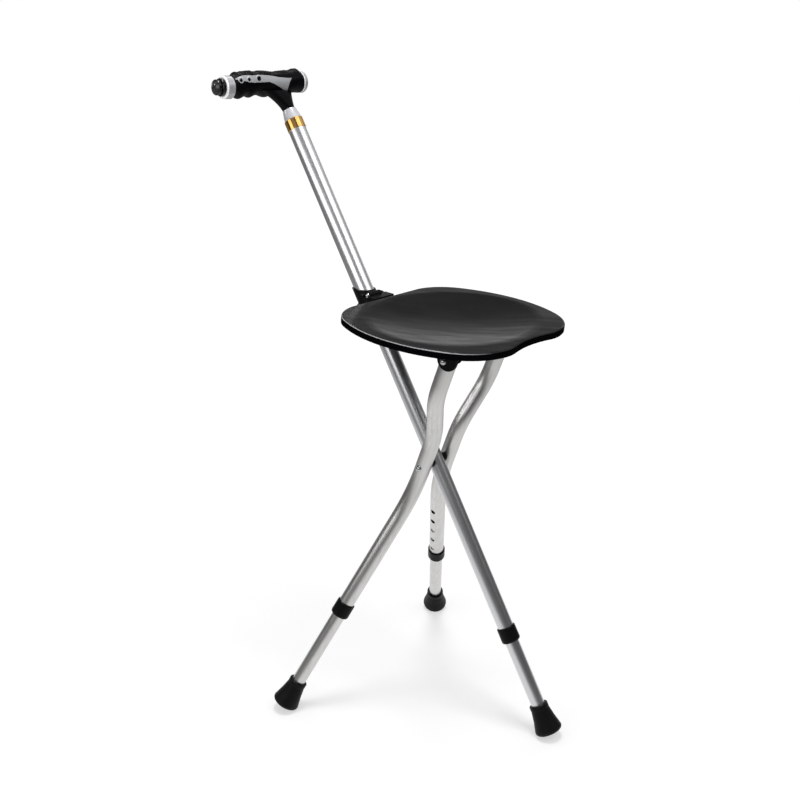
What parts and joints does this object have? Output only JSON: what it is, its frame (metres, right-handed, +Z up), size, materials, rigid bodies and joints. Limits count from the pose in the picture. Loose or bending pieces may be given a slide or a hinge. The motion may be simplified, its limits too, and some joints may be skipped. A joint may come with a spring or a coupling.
{
  "type": "walking stick seat",
  "caption": "Folding walking stick with a dished plastic seat, a sloping shaft, bent legs with telescopic rubber feet and a T-shaped handle with a torch.",
  "frame": {"origin": "on the floor under the centre of the object's box", "axes": "+Z up, +Y towards the rear edge of the seat, the handle lies on the -Y side, +X towards the torch end of the handle"},
  "size_m": [0.3926, 0.5202, 0.8705],
  "materials": {
    "satin_aluminium": "satin",
    "bright_aluminium": "polished",
    "black_nylon": "satin",
    "seat_plastic": "satin",
    "zinc_steel": "bright zinc",
    "foot_rubber": "matte",
    "brass": "polished",
    "clear_cone": "gloss",
    "grip_plastic": "gloss",
    "pad_rubber": "matte",
    "grey_trim": "satin",
    "silver_ring": "silver paint",
    "gloss_black": "gloss",
    "lens": "clear dark lens",
    "battery_wrap": "satin"
  },
  "bodies": {
    "shaft": {"shaft_tube": "satin_aluminium", "shaft_top_guide": "black_nylon", "shaft_collar": "black_nylon", "stop_ring": "black_nylon", "cross_bolt": "zinc_steel", "cross_nut": "zinc_steel", "bolt_spacers": "black_nylon"},
    "shaft_foot": {"shaft_extension": "satin_aluminium", "shaft_tip": "foot_rubber"},
    "shaft_button": {"shaft_snap_button": "zinc_steel"},
    "legs": {"left_leg": "satin_aluminium", "right_leg": "satin_aluminium", "left_leg_plug": "black_nylon", "right_leg_plug": "black_nylon", "left_collar": "black_nylon", "right_collar": "black_nylon"},
    "left_foot": {"left_extension": "satin_aluminium", "left_tip": "foot_rubber"},
    "left_button": {"left_snap_button": "zinc_steel"},
    "right_foot": {"right_extension": "satin_aluminium", "right_tip": "foot_rubber"},
    "right_button": {"right_snap_button": "zinc_steel"},
    "seat": {"seat_shell": "seat_plastic", "hinge_fork": "black_nylon", "left_leg_bracket": "black_nylon", "right_leg_bracket": "black_nylon", "left_leg_bolt": "zinc_steel", "right_leg_bolt": "zinc_steel", "leg_bolt_nuts": "zinc_steel", "bracket_screws": "zinc_steel"},
    "mast": {"upper_tube": "bright_aluminium", "seat_sleeve": "black_nylon", "hinge_pins": "zinc_steel", "sleeve_bolt": "zinc_steel", "brass_ring": "brass", "neck_cone": "clear_cone", "grip_body": "grip_plastic", "grip_pad": "pad_rubber", "grip_trim": "grey_trim", "torch_ring": "silver_ring", "torch_bezel": "gloss_black", "torch_lens": "lens", "battery": "battery_wrap"},
    "light_button": {"light_switch": "gloss_black"},
    "beacon_button": {"beacon_switch": "gloss_black"},
    "alarm_button": {"alarm_switch": "gloss_black"},
    "cap": {"battery_cap": "silver_ring"}
  },
  "joints": [
    {"name": "leg_fold", "type": "hinge", "parent": "shaft", "child": "legs", "pos_m": [0, 0.04633, 0.35797], "axis": [1, 0, 0], "range_deg": [0, 50.05]},
    {"name": "seat_fold", "type": "hinge", "parent": "legs", "child": "seat", "pos_m": [0, 0.10972, 0.52751], "axis": [1, 0, 0], "range_deg": [-100.1, 0]},
    {"name": "sleeve_fold", "type": "hinge", "parent": "seat", "child": "mast", "pos_m": [0, -0.06831, 0.56018], "axis": [1, 0, 0], "range_deg": [0, 50.05]},
    {"name": "shaft_foot_slide", "type": "slide", "parent": "shaft", "child": "shaft_foot", "axis": [0, -0.4932, 0.8699], "range_m": [-0.0254, 0.0762]},
    {"name": "shaft_button_slide", "type": "slide", "parent": "shaft_foot", "child": "shaft_button", "axis": [0, -0.8699, -0.4932], "range_m": [0, 0.0024], "stiffness_N_per_m": 600, "springref_m": 0.0024},
    {"name": "left_foot_slide", "type": "slide", "parent": "legs", "child": "left_foot", "axis": [-0.4195, 0.3179, 0.8503], "range_m": [-0.0254, 0.0762]},
    {"name": "left_button_slide", "type": "slide", "parent": "left_foot", "child": "left_button", "axis": [-0.9078, -0.1469, -0.3929], "range_m": [0, 0.0024], "stiffness_N_per_m": 600, "springref_m": 0.0024},
    {"name": "right_foot_slide", "type": "slide", "parent": "legs", "child": "right_foot", "axis": [0.4195, 0.3179, 0.8503], "range_m": [-0.0254, 0.0762]},
    {"name": "right_button_slide", "type": "slide", "parent": "right_foot", "child": "right_button", "axis": [0.9078, -0.1469, -0.3929], "range_m": [0, 0.0024], "stiffness_N_per_m": 600, "springref_m": 0.0024},
    {"name": "light_press", "type": "slide", "parent": "mast", "child": "light_button", "axis": [-0.1305, -0.9914, 0], "range_m": [0, 0.0006], "stiffness_N_per_m": 1500},
    {"name": "beacon_press", "type": "slide", "parent": "mast", "child": "beacon_button", "axis": [-0.1305, -0.9914, 0], "range_m": [0, 0.0006], "stiffness_N_per_m": 1500},
    {"name": "alarm_press", "type": "slide", "parent": "mast", "child": "alarm_button", "axis": [-0.1305, -0.9914, 0], "range_m": [0, 0.0006], "stiffness_N_per_m": 1500},
    {"name": "cap_twist", "type": "hinge", "parent": "mast", "child": "cap", "pos_m": [-0.03569, -0.22848, 0.8534], "axis": [0.9914, -0.1305, 0], "range_deg": [0, 90]}
  ],
  "couplings": [
    {"joint": "seat_fold", "follows": "leg_fold", "ratio": -2},
    {"joint": "sleeve_fold", "follows": "leg_fold", "ratio": 1}
  ]
}
